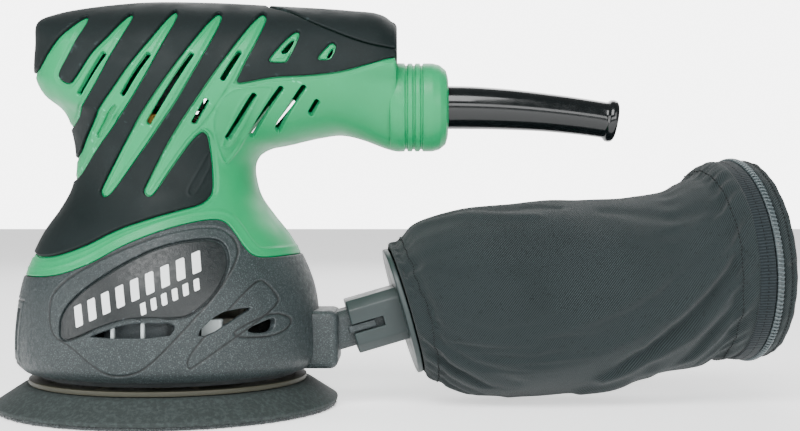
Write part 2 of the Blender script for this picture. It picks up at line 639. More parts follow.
def slot_field(start, end, width, x, z, corner=0.75):
    """Distance to a straight slot with slightly rounded square ends, positive inside."""
    a, b = np.array(start), np.array(end)
    along = (b - a) / np.linalg.norm(b - a)
    side = np.array([-along[1], along[0]])
    centre = (a + b) / 2
    u = np.abs((x - centre[0]) * along[0] + (z - centre[1]) * along[1])
    v = np.abs((x - centre[0]) * side[0] + (z - centre[1]) * side[1])
    half_u = np.linalg.norm(b - a) / 2 + width / 2 - corner
    half_v = width / 2 - corner
    outside = np.hypot(np.maximum(u - half_u, 0), np.maximum(v - half_v, 0))
    within = np.minimum(np.maximum(u - half_u, v - half_v), 0)
    return corner - outside - within


# ---- skins over the body surface --------------------------------------------------------
def catmull(rows, places):
    """A smooth curve through unevenly spaced rows, read at fractional row numbers."""
    rows = np.array(rows, float)
    gaps = np.sqrt(np.linalg.norm(np.diff(rows, axis=0), axis=1))[:, None]
    slopes = np.diff(rows, axis=0) / gaps
    tangents = np.empty_like(rows)
    tangents[0], tangents[-1] = slopes[0], slopes[-1]
    tangents[1:-1] = (slopes[:-1] * gaps[1:] + slopes[1:] * gaps[:-1]) / (gaps[:-1] + gaps[1:])
    index = np.clip(np.floor(places).astype(int), 0, len(rows) - 2)
    t = (places - index)[:, None]
    gap = gaps[index]
    return (
        rows[index] * (2 * t**3 - 3 * t**2 + 1) + rows[index + 1] * (3 * t**2 - 2 * t**3)
        + tangents[index] * gap * (t**3 - 2 * t**2 + t) + tangents[index + 1] * gap * (t**3 - t**2)
    )


def grid_normals(grid):
    """Outward directions on a grid whose rows close round."""
    around = np.roll(grid, -1, 1) - np.roll(grid, 1, 1)
    normal = np.cross(around, np.gradient(grid, axis=0))
    normal /= np.linalg.norm(normal, axis=2, keepdims=True) + 1e-12
    middle = grid.mean(1, keepdims=True)
    return normal if np.sum(normal * (grid - middle)) > 0 else -normal


class Skin:
    """The body surface as a fine grid, from which layers are cut as closed shells."""

    def __init__(self, rows, around, shape=None):
        angle = 2 * np.pi * np.arange(around) / around
        front = np.stack([rows[:, 0], rows[:, 1]], 1)
        rear = np.stack([rows[:, 2], rows[:, 3]], 1)
        centre, half = (front + rear) / 2, (front - rear) / 2
        across = centre[:, None, :] + half[:, None, :] * np.cos(angle)[None, :, None]
        side = -rows[:, 4][:, None] * np.sin(angle)[None, :]
        self.points = np.stack([across[..., 0], side, across[..., 1]], 2)
        if shape:
            self.points = shape(self.points)
        self.normals = grid_normals(self.points)
        self.x, self.y, self.z = (self.points[..., k] for k in range(3))

    def layer(self, field, top, bottom, lip=0.5, steps=4, near=None):
        """(points, faces) of a shell where the field is positive.

        top and bottom are depths below the surface. The rim is rounded over the lip.
        """
        rows, columns = self.x.shape
        value = field - lip
        value = np.where(np.abs(value) < 1e-6, 1e-6, value)
        top = np.broadcast_to(np.asarray(top, float), value.shape)
        bottom = np.broadcast_to(np.asarray(bottom, float), value.shape)
        keep = value > 0
        ci, cj = (rows - 1) // REFINE, columns // REFINE
        wrapped = np.concatenate([keep, keep[:, :1]], 1)
        low = np.ones((ci, cj), bool)
        high = np.zeros((ci, cj), bool)
        for di in range(REFINE + 1):
            for dj in range(REFINE + 1):
                part = wrapped[di : di + REFINE * ci : REFINE, dj : dj + REFINE * cj : REFINE]
                part = part[:ci, :cj]
                low &= part
                high |= part
        fine = low != high
        if near is not None:
            wide = np.concatenate([near, near[:, :1]], 1)
            for di in range(REFINE + 1):
                for dj in range(REFINE + 1):
                    part = wide[di : di + REFINE * ci : REFINE, dj : dj + REFINE * cj : REFINE]
                    fine |= part[:ci, :cj] & high
        faces = []
        cuts = {}
        cut_rows = []

        def vert(i, j):
            return i * columns + j % columns

        def cut(a, b):
            pair = (a, b) if a < b else (b, a)
            if pair not in cuts:
                cuts[pair] = rows * columns + len(cut_rows)
                cut_rows.append(pair)
            return cuts[pair]

        flat = value.ravel()
        for i in range(ci):
            for j in range(cj):
                if not high[i, j]:
                    continue
                i0, j0 = i * REFINE, j * REFINE
                if not fine[i, j]:
                    ring = []
                    i1, j1 = i0 + REFINE, j0 + REFINE
                    corners = [(i0, j0), (i0, j1), (i1, j1), (i1, j0)]
                    others = [(i - 1, j), (i, (j + 1) % cj), (i + 1, j), (i, (j - 1) % cj)]
                    for k in range(4):
                        a, b = corners[k], corners[(k + 1) % 4]
                        ring.append(vert(*a))
                        oi, oj = others[k]
                        if 0 <= oi < ci and fine[oi, oj]:
                            di = (b[0] > a[0]) - (b[0] < a[0])
                            dj = (b[1] > a[1]) - (b[1] < a[1])
                            ring += [vert(a[0] + di * n, a[1] + dj * n) for n in range(1, REFINE)]
                    faces.append(ring)
                    continue
                for di in range(REFINE):
                    for dj in range(REFINE):
                        a, b = i0 + di, j0 + dj
                        quad = [vert(a, b), vert(a, b + 1), vert(a + 1, b + 1), vert(a + 1, b)]
                        state = [flat[q] > 0 for q in quad]
                        if all(state):
                            faces.append(quad)
                            continue
                        if not any(state):
                            continue
                        ring = []
                        for k in range(4):
                            p, q = quad[k], quad[(k + 1) % 4]
                            if state[k]:
                                ring.append(p)
                            if state[k] != state[(k + 1) % 4]:
                                ring.append(cut(p, q))
                        faces.append(ring)
        # Vertex data, grid points first and then the cut ones.
        base = self.points.reshape(-1, 3)
        normal = self.normals.reshape(-1, 3)
        tops, bottoms = top.ravel(), bottom.ravel()
        if cut_rows:
            pairs = np.array(cut_rows)
            fa, fb = flat[pairs[:, 0]], flat[pairs[:, 1]]
            share = np.clip(fa / (fa - fb), 0.02, 0.98)[:, None]
            def with_cuts(data):
                mixed = data[pairs[:, 0]] * (1 - share) + data[pairs[:, 1]] * share
                return np.vstack([data, mixed])

            base, normal = with_cuts(base), with_cuts(normal)
            tops, bottoms = with_cuts(tops[:, None])[:, 0], with_cuts(bottoms[:, None])[:, 0]
        used = np.unique(np.concatenate([np.array(f) for f in faces]))
        renumber = np.full(len(base), -1)
        renumber[used] = np.arange(len(used))
        base, normal, tops, bottoms = base[used], normal[used], tops[used], bottoms[used]
        normal /= np.linalg.norm(normal, axis=1, keepdims=True)
        faces = [[int(renumber[v]) for v in f] for f in faces]
        outer = base - normal * tops[:, None]
        inner = base - normal * bottoms[:, None]
        return shell_mesh(outer, inner, normal, faces, tops, bottoms, lip, steps)


def shell_mesh(outer, inner, normal, faces, tops, bottoms, lip, steps):
    """Joins an outer and an inner skin round their rims with a rounded lip."""
    a = outer[faces[0]]
    turned = np.dot(np.cross(a[1] - a[0], a[2] - a[0]), normal[faces[0][0]]) < 0
    if turned:
        faces = [f[::-1] for f in faces]
    count = len(outer)
    starts = np.concatenate([np.array(f) for f in faces])
    ends = np.concatenate([np.array(f[1:] + f[:1]) for f in faces])
    there, back = starts * count + ends, ends * count + starts
    rim = ~np.isin(there, back)
    rim_a, rim_b = starts[rim], ends[rim]
    away = np.zeros((count, 3))
    step = np.cross(outer[rim_b] - outer[rim_a], normal[rim_a])
    np.add.at(away, rim_a, step)
    np.add.at(away, rim_b, step)
    for _ in range(2):
        spread = away.copy()
        np.add.at(spread, rim_a, away[rim_b] * 0.5)
        np.add.at(spread, rim_b, away[rim_a] * 0.5)
        away = spread
    rim_verts = np.unique(np.concatenate([rim_a, rim_b]))
    direction = away[rim_verts]
    size = np.linalg.norm(direction, axis=1, keepdims=True)
    direction = np.where(size > 1e-9, direction / np.maximum(size, 1e-9), 0)
    n = normal[rim_verts]
    direction -= n * np.sum(direction * n, 1, keepdims=True)
    points = [outer, inner]
    place = {int(v): k for k, v in enumerate(rim_verts)}
    total = 2 * count
    rows = [rim_verts]
    depth = np.maximum(bottoms - tops, lip)[rim_verts][:, None]
    for k in range(1, steps + 1):
        turn = math.pi / 2 * k / steps
        row = outer[rim_verts] + direction * lip * math.sin(turn) - n * lip * (1 - math.cos(turn))
        points.append(row)
        rows.append(np.arange(total, total + len(rim_verts)))
        total += len(rim_verts)
    points.append(outer[rim_verts] + direction * lip - n * depth)
    rows.append(np.arange(total, total + len(rim_verts)))
    total += len(rim_verts)
    rows.append(rim_verts + count)
    result = list(faces)
    result += [[v + count for v in reversed(f)] for f in faces]
    ka = [place[int(v)] for v in rim_a]
    kb = [place[int(v)] for v in rim_b]
    for upper, lower in zip(rows, rows[1:]):
        result += [
            [int(upper[q]), int(upper[p]), int(lower[p]), int(lower[q])] for p, q in zip(ka, kb)
        ]
    return np.vstack(points), result


def merged(parts):
    points, faces, offset = [], [], 0
    for part_points, part_faces in parts:
        points.append(np.asarray(part_points))
        faces += [[v + offset for v in f] for f in part_faces]
        offset += len(part_points)
    return np.vstack(points), faces


def make_object(name, part, material, sharp=38, metres=False):
    points, faces = part
    mesh = bpy.data.meshes.new(name)
    scale = 1 if metres else MM
    mesh.from_pydata((np.asarray(points) * scale).tolist(), [], faces)
    mesh.validate()
    mesh.update()
    mesh.shade_smooth()
    mesh.set_sharp_from_angle(angle=math.radians(sharp))
    obj = bpy.data.objects.new(name, mesh)
    bpy.context.scene.collection.objects.link(obj)
    mesh.materials.append(MATERIALS[material])
    return obj


def stand(obj, body, slot, *nodes):
    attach(obj, body)
    if nodes:
        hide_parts(*nodes)
    return obj


# ---- the body ---------------------------------------------------------------------------
def spaced_rows(first, last, spacing):
    """Rows of the section table at even spacing along the body."""
    dense = np.linspace(first, last, 1200)
    rows = catmull(SECTIONS, dense)
    front = np.hypot(np.diff(rows[:, 0]), np.diff(rows[:, 1]))
    rear = np.hypot(np.diff(rows[:, 2]), np.diff(rows[:, 3]))
    run = np.concatenate([[0], np.cumsum(np.maximum(front, rear))])
    count = int(run[-1] / spacing)
    return catmull(SECTIONS, np.interp(np.linspace(0, run[-1], count), run, dense))


def capped_rows():
    """The body with its tail end rounded over and closed."""
    rows = spaced_rows(3.4, 21.62, GRID)
    end = rows[-1]
    depth, inset = TAIL_END - end[0], 2.4
    cap = []
    for turn in np.linspace(0, math.pi / 2, 9)[1:]:
        cap.append((depth * math.sin(turn), inset * (1 - math.cos(turn))))
    for extra in np.arange(0.6, 16.8, 0.6):
        cap.append((depth, inset + extra))
    made = []
    for along, within in cap:
        tall = (end[1] - end[3]) / 2
        scale = (tall - within) / tall
        middle = (end[1] + end[3]) / 2
        made.append((
            end[0] + along, middle + tall * scale, end[2] + along, middle - tall * scale,
            end[4] - within,
        ))
    rows = np.vstack([rows, made])
    return rows[: (len(rows) - 1) // REFINE * REFINE + 1]


def side_field(skin, *outlines):
    """Distance on the side view to the nearest of some closed outlines, positive inside."""
    return mirrored_field(skin, lambda x, z: np.max([signed(o, x, z) for o in outlines], axis=0))


def mirrored_field(skin, rule):
    """A field that is the same on both sides, worked out once."""
    half = skin.x.shape[1] // 2
    part = rule(skin.x[:, : half + 1], skin.z[:, : half + 1])
    return np.concatenate([part, part[:, 1:half][:, ::-1]], 1)


def smooth_step(value, low, high):
    share = np.clip((value - low) / (high - low), 0, 1)
    return share * share * (3 - 2 * share)


def ridge(distance, width, height):
    return height * np.exp(-((distance / width) ** 2))


def line_distance(skin, outlines):
    """Distance on the side view to the nearest of some closed lines."""
    smoothed = [smooth_closed(outline, 2) for outline in outlines]
    return mirrored_field(
        skin, lambda x, z: np.min([edge_distance(p, x, z) for p in smoothed], axis=0)
    )


def box_field(u, v, centre, half):
    return np.minimum(half[0] - np.abs(u - centre[0]), half[1] - np.abs(v - centre[1]))


def tail_blend(points):
    """Draws the lower tail in towards the round collar, under the edge of the skin."""
    share = smooth_step(points[..., 0], 62, TAIL_END - 1)
    share = share * (1 - smooth_step(points[..., 2], 117, 125))
    drawn = points.copy()
    drawn[..., 1] *= 1 - 0.19 * share
    return drawn


def make_body():
    skin = Skin(capped_rows(), BODY_AROUND, tail_blend)
    seam = smooth_open(SEAM)
    above_line = np.vstack([seam + [0, SEAM_GAP], [[70, 170], [-70, 170]]])
    hood_line = smooth_open(HOOD_LINE)
    hood_outline = np.vstack([hood_line, [[95, 129.5], [95, 170], [34, 170]]])
    lower = smooth_open(GRIP_EDGE)
    grip_outline = np.vstack([lower, (hood_line - [0, 0.3])[::-1], [[-70, 160]]])
    above = mirrored_field(skin, lambda x, z: np.where(x > 55, 50, signed(above_line, x, z)))
    hood = side_field(skin, hood_outline)
    grip = side_field(skin, grip_outline)
    window = side_field(skin, *(smooth_closed(w, 2) for w in GRIP_WINDOWS))
    slots = mirrored_field(
        skin,
        lambda x, z: np.max(
            [slot_field(a, b, SLOT_WIDTH, x, z) for a, b in SLOTS]
            + [signed(smooth_closed(outline, 2), x, z) for outline in TAIL_OPENINGS],
            axis=0,
        ),
    )
    lines = line_distance(skin, HOUSING_LINES)
    skin_line = line_distance(skin, [SKIN_LINE])
    groove = mirrored_field(skin, lambda x, z: slot_field(*BLIND_GROOVE, 1.5, x, z))
    slider = np.where(skin.x < -35, box_field(skin.y, skin.z, *SLIDER_BOX), AWAY)
    dial = np.where(skin.x > 70, box_field(skin.y, skin.z, *DIAL_BOX), AWAY)
    rubber = np.minimum(grip, -window)
    outside = np.minimum(-rubber, -hood)
    cuts = np.minimum.reduce([-slots, -slider, -dial])
    under = np.minimum(above, cuts)
    raised_at = np.minimum.reduce([outside - 0.35, above, cuts, -groove])
    # A lower rim runs along every edge of the skins, and a band above the seam.
    rim = outside - 0.35
    rim_step = 1 - smooth_step(rim, 1.05, 1.5)
    green_top = RAISED_DEPTH + 0.42 * rim_step - ridge(lines, 0.4, 0.3)
    green_top = np.maximum(green_top - 0.25 * ridge(above - 2.6, 0.5, 1.0), 0.02)
    green_near = (np.abs(rim - 1.2) < 1.2) | (lines < 1.3) | (np.abs(above - 2.6) < 1.3)
    skin_top = -ridge(skin_line, 0.4, 0.22)
    for side, half in (("left", -skin.y - SEAM_GAP), ("right", skin.y - SEAM_GAP)):
        base = skin.layer(np.minimum(under, half), GREEN_DEPTH, 2.5, 0.2, 2)
        raised = skin.layer(np.minimum(raised_at, half), green_top, 2.0, 0.5, 4, green_near)
        parts = [base, raised, collar_half(side)]
        shell = make_object("body_shell_" + side, merged(parts), "green")
        stand(shell, "housing", "green_plastic", "housing_" + side)
        cover = np.minimum.reduce([rubber, half, -slider])
        sheet = skin.layer(cover, skin_top, SKIN_DEPTH, 0.65, 5, skin_line < 1.3)
        soft = make_object("grip_skin_" + side, sheet, "grip")
        stand(soft, "housing", "soft_grip", "grip_" + side)
    cap = np.minimum(hood - 0.1, -dial)
    stand(
        make_object("tail_hood", skin.layer(cap, 0.0, SKIN_DEPTH, 0.6, 5), "grip"),
        "housing", "dark_plastic", "rear_hood",
    )


def turned(profile, sides, start=0.0, sweep=2 * math.pi, axis="X"):
    """A closed (radius, along) profile turned round an axis, fully or in part."""
    full = abs(sweep - 2 * math.pi) < 1e-6
    count = sides if full else sides + 1
    points, faces = [], []
    for k in range(count):
        angle = start + sweep * k / sides
        for radius, along in profile:
            u, v = radius * math.cos(angle), radius * math.sin(angle)
            points.append((along, u, v) if axis == "X" else (u, v, along))
    n = len(profile)
    area = sum(
        profile[i][0] * profile[(i + 1) % n][1] - profile[(i + 1) % n][0] * profile[i][1]
        for i in range(n)
    )
    for k in range(sides):
        a, b = k * n, ((k + 1) % count) * n
        for i in range(n):
            j = (i + 1) % n
            face = [a + i, a + j, b + j, b + i]
            faces.append(face if (area > 0) != (axis == "X") else face[::-1])
    if not full:
        faces.append(list(range(n)))
        faces.append([(count - 1) * n + i for i in reversed(range(n))])
    return np.array(points), faces


def rounded_profile(points, radius, steps=4):
    """Rounds the corners of a closed profile."""
    result = []
    count = len(points)
    for i in range(count):
        before, here, after = (np.array(points[(i + k) % count], float) for k in (-1, 0, 1))
        back, ahead = before - here, after - here
        size = min(radius, np.linalg.norm(back) * 0.45, np.linalg.norm(ahead) * 0.45)
        first = here + back / np.linalg.norm(back) * size
        last = here + ahead / np.linalg.norm(ahead) * size
        for t in np.linspace(0, 1, steps + 1):
            result.append(tuple((1 - t) ** 2 * first + 2 * t * (1 - t) * here + t**2 * last))
    return result


def collar_half(side):
    """Half of the tail collar with its ring grooves and rounded end."""
    r = COLLAR_RADIUS
    profile = [(8.5, TAIL_END - 2.5), (r - 0.4, TAIL_END - 2.5), (r + 0.1, TAIL_END + 0.4)]
    for start in (87.2, 90.0, 92.8):
        profile += [(r, start), (r - 0.8, start + 0.25), (r - 0.8, start + 0.95), (r, start + 1.2)]
    profile += [(r, 97.5), (r - 0.7, 100.2), (r - 2.6, 102.5)]
    profile += [(11.0, COLLAR_END), (8.5, COLLAR_END)]
    profile = rounded_profile(profile, 0.45, 3)
    start = math.pi / 2 if side == "left" else -math.pi / 2
    points, faces = turned(profile, 72, start, math.pi)
    points = points + [0, -0.1 if side == "left" else 0.1, COLLAR_HEIGHT]
    return points, faces


# ---- the skirt --------------------------------------------------------------------------
def front_panel_distance(x, y, z):
    """Distance to the raised frame on the front of the skirt."""
    return np.where(x < -30, np.abs(box_field(y, z, *FRONT_PANEL)), -AWAY)


def make_skirt():
    rows = spaced_rows(0.12, 7.2, SKIRT_GRID)
    rows = rows[: (len(rows) - 1) // REFINE * REFINE + 1]
    skin = Skin(rows, SKIRT_AROUND)
    seam = smooth_open(SEAM)
    below_line = np.vstack([seam - [0, SEAM_GAP], [[70, 0], [-70, 0]]])
    below = side_field(skin, below_line)
    plate_field = side_field(skin, smooth_closed(PLATE_OUTLINE, 2))
    plate_field = np.where(np.abs(skin.y) > PLATE_SIDE, plate_field, AWAY)
    opening = side_field(skin, *(smooth_closed(o, 1) for o in SKIRT_OPENINGS))
    slits = np.full(skin.x.shape, AWAY)
    for y in SLIT_PLACES:
        slits = np.maximum(slits, box_field(skin.y, skin.z, (y, SLIT_HEIGHT), SLIT_HALF))
    slits = np.where(skin.x < -40, slits, AWAY)
    line = line_distance(skin, SKIRT_LINES)
    line = np.minimum(line, front_panel_distance(skin.x, skin.y, skin.z))
    top = ridge(line, 0.36, 0.3) - ridge(line - 0.75, 0.45, 0.12)
    wall = np.minimum.reduce([below, -opening, -plate_field - 0.4, -slits])
    main = skin.layer(wall, top, WALL_DEPTH, 0.45, 4, line < 1.6)
    floor_part = skin.layer(plate_field + 1.5, 1.1, WALL_DEPTH, 0.2, 1)
    baffles = [opening_baffle(side) for side in (-1, 1)]
    parts = [main, floor_part, *baffles, outlet_mesh()]
    skirt = make_object("skirt_moulding", merged(parts), "skirt")
    ribs = make_object("vent_ribs", merged([opening_ribs(side) for side in (-1, 1)]), "rib")
    stand(ribs, "housing", "skirt_plastic")
    darken_lines(skirt)
    stand(skirt, "housing", "skirt_plastic", "base_housing")
    for side, sign in (("left", -1), ("right", 1)):
        own = np.minimum(plate_field - 0.15, skin.y * sign - 6.9)
        panel = skin.layer(own, 0.05, 1.0, 0.6, 5)
        piece = make_object("side_panel_" + side, panel, "plate")
        stand(piece, "housing", "skirt_plastic", "side_plate_" + side)
        bars = np.full(skin.x.shape, AWAY)
        for centre, size in bar_places():
            bars = np.maximum(bars, slanted_bar(skin.x, skin.z, centre, size))
        bars = np.minimum(bars, skin.y * sign - 6.9)
        marks = make_object("panel_bars_" + side, skin.layer(bars, -0.03, 0.3, 0.1, 2), "bars")
        stand(marks, "housing", "skirt_plastic")


def darken_lines(obj):
    """Marks the bottom of the moulded lines for the material."""
    points = np.array([v.co for v in obj.data.vertices]) / MM
    gap = np.min(
        [edge_distance(smooth_closed(o, 2), points[:, 0], points[:, 2]) for o in SKIRT_LINES],
        axis=0,
    )
    gap = np.minimum(gap, front_panel_distance(*points.T))
    reach = np.hypot(points[:, 0], points[:, 1])
    amount = np.where((reach > 44) & (points[:, 0] < 49.5), np.exp(-((gap / 0.34) ** 2)), 0)
    layer = obj.data.attributes.new("groove", "FLOAT", "POINT")
    layer.data.foreach_set("value", amount.astype(np.float32))


def bar_places():
    """Two rows of plain slanted bars: centre and size of each."""
    along = np.array([math.cos(BAR_SLOPE), math.sin(BAR_SLOPE)])
    return [
        (np.array(start) + along * spacing * k, size)
        for start, count, spacing, size in BAR_ROWS
        for k in range(count)
    ]


def slanted_bar(x, z, centre, size):
    along = np.array([math.cos(BAR_SLOPE), math.sin(BAR_SLOPE)])
    up = np.array([-math.sin(BAR_SLOPE), math.cos(BAR_SLOPE)])
    u = (x - centre[0]) * along[0] + (z - centre[1]) * along[1]
    v = (x - centre[0]) * up[0] + (z - centre[1]) * up[1]
    lean = u - v * BAR_LEAN
    return np.minimum(size[0] - np.abs(lean), size[1] - np.abs(v))


def bevelled(bm, angle=30, width=0.5, segments=3):
    """Rounds every edge sharper than the angle."""
    edges = [e for e in bm.edges if e.is_manifold and e.calc_face_angle() > math.radians(angle)]
    bmesh.ops.bevel(
        bm, geom=edges, offset=width, segments=segments, profile=0.5, affect="EDGES",
        clamp_overlap=True,
    )
    return bm


def from_bmesh(bm):
    bm.verts.index_update()
    points = np.array([v.co[:] for v in bm.verts])
    faces = [[v.index for v in f.verts] for f in bm.faces]
    bm.free()
    return points, faces


def soft_box(low, high, rounding, segments=3):
    bm = bmesh.new()
    bmesh.ops.create_cube(bm, size=1.0)
    for vert in bm.verts:
        vert.co = [low[k] + (vert.co[k] + 0.5) * (high[k] - low[k]) for k in range(3)]
    return from_bmesh(bevelled(bm, 30, rounding, segments))


def prism(outline, low, high, rounding, segments=3, hole=None):
    """An outline in (y, z) given length along X, with rounded rims and perhaps a hole."""
    bm = bmesh.new()

    def end_rings(line):
        return [[bm.verts.new((at, u, v)) for u, v in line] for at in (low, high)]

    near, far = end_rings(outline)
    if hole:
        near_hole, far_hole = end_rings(hole)
    count = len(outline)
    for i in range(count):
        k = (i + 1) % count
        bm.faces.new((near[i], near[k], far[k], far[i]))
        if hole:
            bm.faces.new((near_hole[k], near_hole[i], far_hole[i], far_hole[k]))
            bm.faces.new((near[k], near[i], near_hole[i], near_hole[k]))
            bm.faces.new((far[i], far[k], far_hole[k], far_hole[i]))
    if not hole:
        bm.faces.new(near[::-1])
        bm.faces.new(far)
    bmesh.ops.recalc_face_normals(bm, faces=bm.faces)
    return from_bmesh(bevelled(bm, 40, rounding, segments))


def rounded_outline(half_u, half_v, corner, steps=6):
    points = []
    for index, (su, sv) in enumerate(((1, 1), (-1, 1), (-1, -1), (1, -1))):
        for step in range(steps + 1):
            angle = math.pi / 2 * (index + step / steps)
            u = su * (half_u - corner) + corner * math.cos(angle)
            v = sv * (half_v - corner) + corner * math.sin(angle)
            points.append((u, v))
    return points


def placed(part, matrix):
    """A part in millimetres put through a matrix in metres."""
    points, faces = part
    turn = np.array(matrix)
    return points @ turn[:3, :3].T + turn[:3, 3] / MM, faces


def opening_ribs(side):
    """Small upright ribs inside the first opening, and a sloped baffle behind the second."""
    parts = []
    for x in (-10.1, 0.1):
        reach = math.sqrt(54.6**2 - x * x)
        y = sorted((side * (reach - 1.9), side * (reach - 4.5)))
        parts.append(soft_box((x - 0.6, y[0], 28.0), (x + 0.6, y[1], 36.8), 0.4))
    y = sorted((side * 40.5, side * 46.0))
    parts.append(soft_box((18.5, y[0], 27.0), (25.4, y[1], 35.0), 0.8))
    return merged(parts)


def opening_baffle(side):
    """The curved inner wall behind the first opening."""
    rings = []
    for degrees in np.linspace(66, 108, 15):
        angle = math.radians(degrees)
        corners = ((45.6, 25.0), (46.8, 25.0), (46.8, 39.0), (45.6, 39.0))
        rings.append(np.array([
            (r * math.cos(angle), side * r * math.sin(angle), z) for r, z in corners
        ]))
    return skin_rings(rings if side > 0 else rings[::-1], closed=False)


def outlet_mesh():
    boss = soft_box((44.0, -14, 14.2), (63, 14, 35.4), 3.0, 5)
    neck = placed(
        prism(chamfered(9.2, 6.9, 2.6), -6, 23, 0.4, 3, chamfered(7.0, 4.7, 1.2)), OUTLET
    )
    tongues = [
        placed(soft_box((6.2, y - 1.3, -1.75), (16.4, y + 1.3, 0.95), 0.5), OUTLET)
        for y in (-9.8, 9.8)
    ]
    return merged([boss, neck, *tongues])


# ---- pad --------------------------------------------------------------------------------
def hole_places():
    turns = [math.tau * (k + 0.5) / HOLE_COUNT for k in range(HOLE_COUNT)]
    return [(HOLE_CIRCLE * math.cos(a), HOLE_CIRCLE * math.sin(a)) for a in turns]


def holed_disc(name, profile, sides, material):
    """A turned pad layer on the offset axis, with its eight dust holes."""
    points, faces = turned(profile, sides, axis="Z")
    bm = bmesh.new()
    made = [bm.verts.new(p) for p in points]
    for face in faces:
        ring = list(dict.fromkeys(made[i] for i in face))
        if len(ring) > 2:
            bm.faces.new(ring)
    bmesh.ops.remove_doubles(bm, verts=bm.verts, dist=1e-4)
    bmesh.ops.recalc_face_normals(bm, faces=bm.faces)
    disc = make_object(name, from_bmesh(bm), material, 32)
    cutters = bmesh.new()
    for u, v in hole_places():
        bmesh.ops.create_cone(
            cutters, cap_ends=True, segments=32, radius1=HOLE_RADIUS, radius2=HOLE_RADIUS,
            depth=24, matrix=Matrix.Translation((u, v, 8)),
        )
    tool = make_object(name + "_holes", from_bmesh(cutters), material)
    apply_boolean(disc, tool)
    disc.location.y = -ORBIT_OFFSET * MM
    return disc


def bake(obj):
    """Gives an object the mesh that its modifiers make."""
    bpy.context.view_layer.update()
    graph = bpy.context.evaluated_depsgraph_get()
    mesh = bpy.data.meshes.new_from_object(obj.evaluated_get(graph))
    obj.modifiers.clear()
    obj.data = mesh
    mesh.shade_smooth()


def apply_boolean(obj, tool, operation="DIFFERENCE"):
    modifier = obj.modifiers.new("cut", "BOOLEAN")
    modifier.object = tool
    modifier.operation = operation
    modifier.solver = "EXACT"
    bake(obj)
    obj.data.set_sharp_from_angle(angle=math.radians(32))
    bpy.data.objects.remove(tool)


def make_pad():
    foam_profile = rounded_profile(
        [(0.02, 1.35), (62.0, 1.35), (62.4, 2.8), (53.0, 8.9), (51.2, 9.4), (0.02, 9.4)], 0.35, 3
    )
    foam = holed_disc("pad_foam_body", foam_profile, 160, "foam")
    stand(foam, "pad", "pad_foam_rubber", "pad_foam")
    backing_profile = rounded_profile(
        [
            (0.02, 9.7), (50.6, 9.7), (50.6, 11.3), (46.5, 11.3), (46.0, 10.9), (24, 10.9),
            (22, 12.3), (0.02, 12.3),
        ],
        0.25, 2,
    )
    backing = holed_disc("pad_plate", backing_profile, 128, "backing")
    stand(backing, "pad", "pad_backing_plastic", "pad_backing")
    pile_profile = [(0.02, 0.25), (61.5, 0.25), (61.6, 0.6), (61.5, 1.2), (0.02, 1.2)]
    pile = holed_disc("hook_layer", pile_profile, 160, "hook")
    stand(pile, "pad", "hook_fabric", "hook_face")
    bristles = make_object("hook_bristles", bristle_mesh(), "hook", 80)
    bristles.location.y = -ORBIT_OFFSET * MM
    stand(bristles, "pad", "hook_fabric")


def bristle_mesh():
    """Short hooks round the rim and in rings over the working face."""
    roots, tips, holes = [], [], hole_places()
    for _ in range(RIM_HOOKS):
        angle = RNG.uniform(0, math.tau)
        height = RNG.uniform(0.2, 1.3)
        length = RNG.uniform(0.35, 0.95)
        lean = RNG.normal(0, 0.35)
        outward = np.array([math.cos(angle), math.sin(angle)])
        side = np.array([-outward[1], outward[0]])
        flat = outward * 61.3
        tip = flat + outward * length * 0.9 + side * lean * length
        roots.append((flat[0], flat[1], height))
        tips.append((tip[0], tip[1], max(0.02, height - RNG.uniform(0.0, 0.5))))
    for _ in range(FACE_HOOKS):
        angle = RNG.uniform(0, math.tau)
        radius = 61 * math.sqrt(RNG.uniform(0.01, 1))
        flat = np.array([math.cos(angle), math.sin(angle)]) * radius
        if min(math.hypot(flat[0] - u, flat[1] - v) for u, v in holes) < HOLE_RADIUS + 0.6:
            continue
        roots.append((flat[0], flat[1], 0.4))
        tips.append((flat[0] + RNG.normal(0, 0.15), flat[1] + RNG.normal(0, 0.15), 0.03))
    points, faces = [], []
    for root, tip in zip(roots, tips):
        root, tip = np.array(root), np.array(tip)
        along = tip - root
        across = np.cross(along, (0.3, 0.2, 1.0))
        across /= np.linalg.norm(across) + 1e-9
        other = np.cross(along, across)
        other /= np.linalg.norm(other) + 1e-9
        first = len(points)
        for turn in (0, 2.1, 4.2):
            points.append(root + (across * math.cos(turn) + other * math.sin(turn)) * 0.13)
        points.append(tip)
        for k in range(3):
            faces.append([first + k, first + (k + 1) % 3, first + 3])
        faces.append([first + 2, first + 1, first])
    return np.array(points), faces


# ---- guard, controls and screws ---------------------------------------------------------
def guard_ring(distance, radius, sides=56):
    run = max(0.0, distance - GUARD_STRAIGHT)
    droop = math.atan(2 * GUARD_DROOP * run)
    centre = np.array([GUARD_START + distance, 0, COLLAR_HEIGHT - GUARD_DROOP * run * run])
    up = np.array([math.sin(droop), 0, math.cos(droop)])
    angle = 2 * np.pi * np.arange(sides) / sides
    ring = centre + up * radius * np.cos(angle)[:, None]
    ring[:, 1] += radius * np.sin(angle)
    return ring


def divided(outline, spacing):
    """The outline with its long stretches divided evenly."""
    made = []
    for (d0, r0), (d1, r1) in zip(outline, outline[1:]):
        steps = max(1, int(abs(d1 - d0) / spacing))
        made += [(d0 + (d1 - d0) * k / steps, r0 + (r1 - r0) * k / steps) for k in range(steps)]
    return made + [outline[-1]]


def make_guard():
    outline = divided(GUARD_OUTER, 2.0) + divided(GUARD_INNER, 3.0)
    rings = [guard_ring(d, r) for d, r in outline]
    guard = make_object("cord_sleeve", skin_rings(rings), "gloss", 50)
    stand(guard, "housing", "guard_rubber", "cord_guard")


